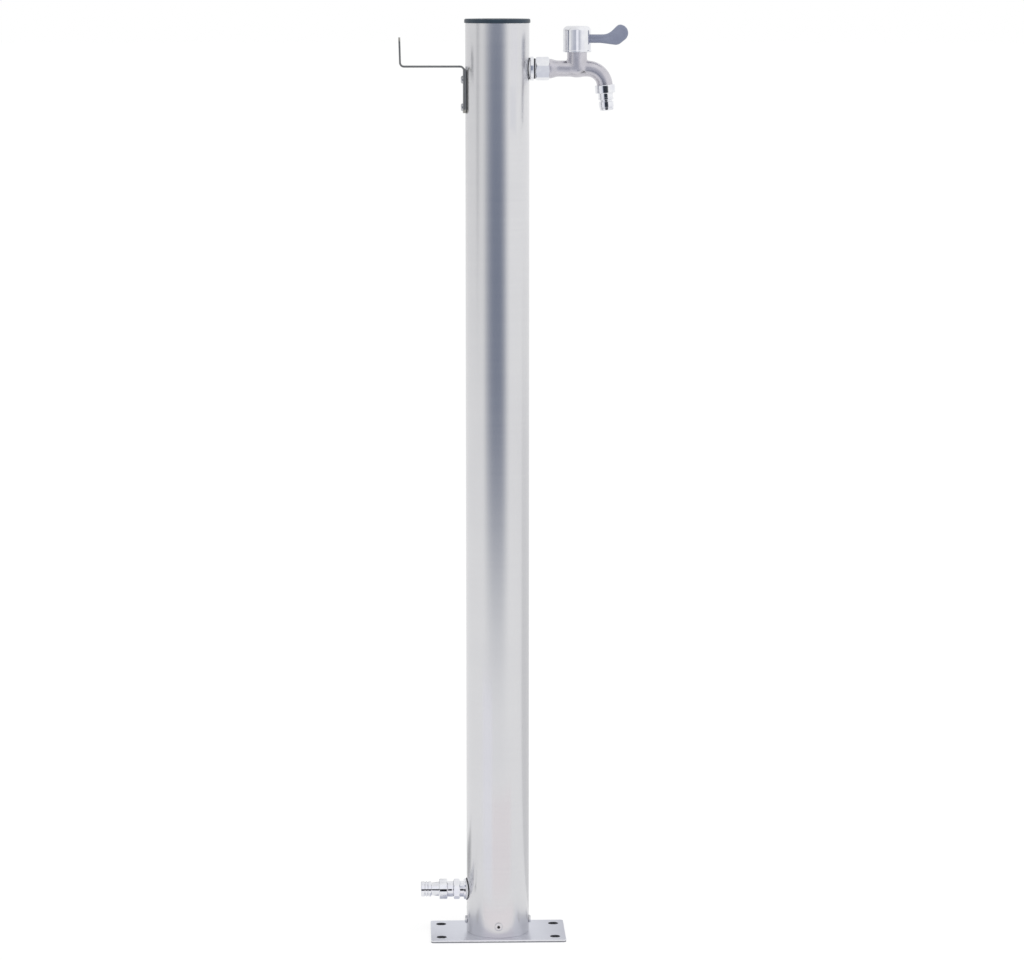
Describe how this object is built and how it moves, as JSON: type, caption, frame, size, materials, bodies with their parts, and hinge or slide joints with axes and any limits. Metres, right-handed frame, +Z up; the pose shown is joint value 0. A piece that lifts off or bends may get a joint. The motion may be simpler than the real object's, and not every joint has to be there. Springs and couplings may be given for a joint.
{
  "type": "garden standpipe",
  "caption": "Round stainless column on a bolt down floor plate, with a quarter turn lever tap, a hose hook near the top and a push fit hose inlet at the foot.",
  "frame": {"origin": "the column's axis on the underside of the floor plate", "axes": "+Z up along the column, +X towards the tap, -Y towards the front"},
  "size_m": [0.2328, 0.08, 0.95],
  "materials": {
    "column_steel": "stainless steel tube with a fine satin brush",
    "plate_steel": "stainless steel sheet, satin",
    "screw_steel": "bright stainless screws",
    "hook_steel": "bent stainless strip, satin",
    "cap_plastic": "moulded dark slate plastic",
    "lever_plastic": "moulded grey blue plastic",
    "chrome": "bright chrome plate",
    "satin_nickel": "satin nickel plate on cast zinc",
    "brass": "plain turned brass",
    "rubber": "black rubber",
    "braid": "woven stainless wire braid",
    "ceramic": "polished white ceramic discs"
  },
  "bodies": {
    "column": {"base_plate": "plate_steel", "foot_spigot": "plate_steel", "foot_screws": "screw_steel", "column_tube": "column_steel", "top_cap": "cap_plastic", "hose_hook": "hook_steel", "hook_screws": "screw_steel", "hook_rivet_nuts": "brass", "inlet_gasket": "rubber", "inlet_bulkhead": "chrome", "inlet_locknut": "brass", "inlet_plug_washer": "rubber", "inlet_plug": "chrome", "inlet_elbow": "brass", "outlet_elbow": "brass", "bottom_hose_seal": "rubber", "bottom_hose_nut": "brass", "bottom_hose_nipple": "brass", "bottom_ferrule": "plate_steel", "inner_hose": "rubber", "hose_braid": "braid", "top_ferrule": "plate_steel", "top_hose_nipple": "brass", "top_hose_nut": "brass", "top_hose_seal": "rubber", "outlet_bulkhead": "brass", "outlet_locknut": "brass", "outlet_gasket": "rubber", "outlet_ring": "chrome", "outlet_seal": "rubber", "outlet_coupling": "chrome", "tap_body": "satin_nickel", "nozzle_washer": "rubber", "spout_nozzle": "chrome", "seat_seal": "rubber", "fixed_disc": "ceramic", "cartridge_body": "brass", "cartridge_o_ring": "rubber"},
    "handle": {"moving_disc": "ceramic", "spindle": "brass", "spindle_o_rings": "rubber", "spindle_clip": "plate_steel", "handle_dome": "chrome", "handle_screw": "screw_steel", "handle_cap": "chrome", "lever": "lever_plastic"}
  },
  "joints": [
    {"name": "handle_turn", "type": "hinge", "parent": "column", "child": "handle", "pos_m": [0.0808, 0, 0.9295], "axis": [0, 0, 1], "range_deg": [0, 90]}
  ]
}
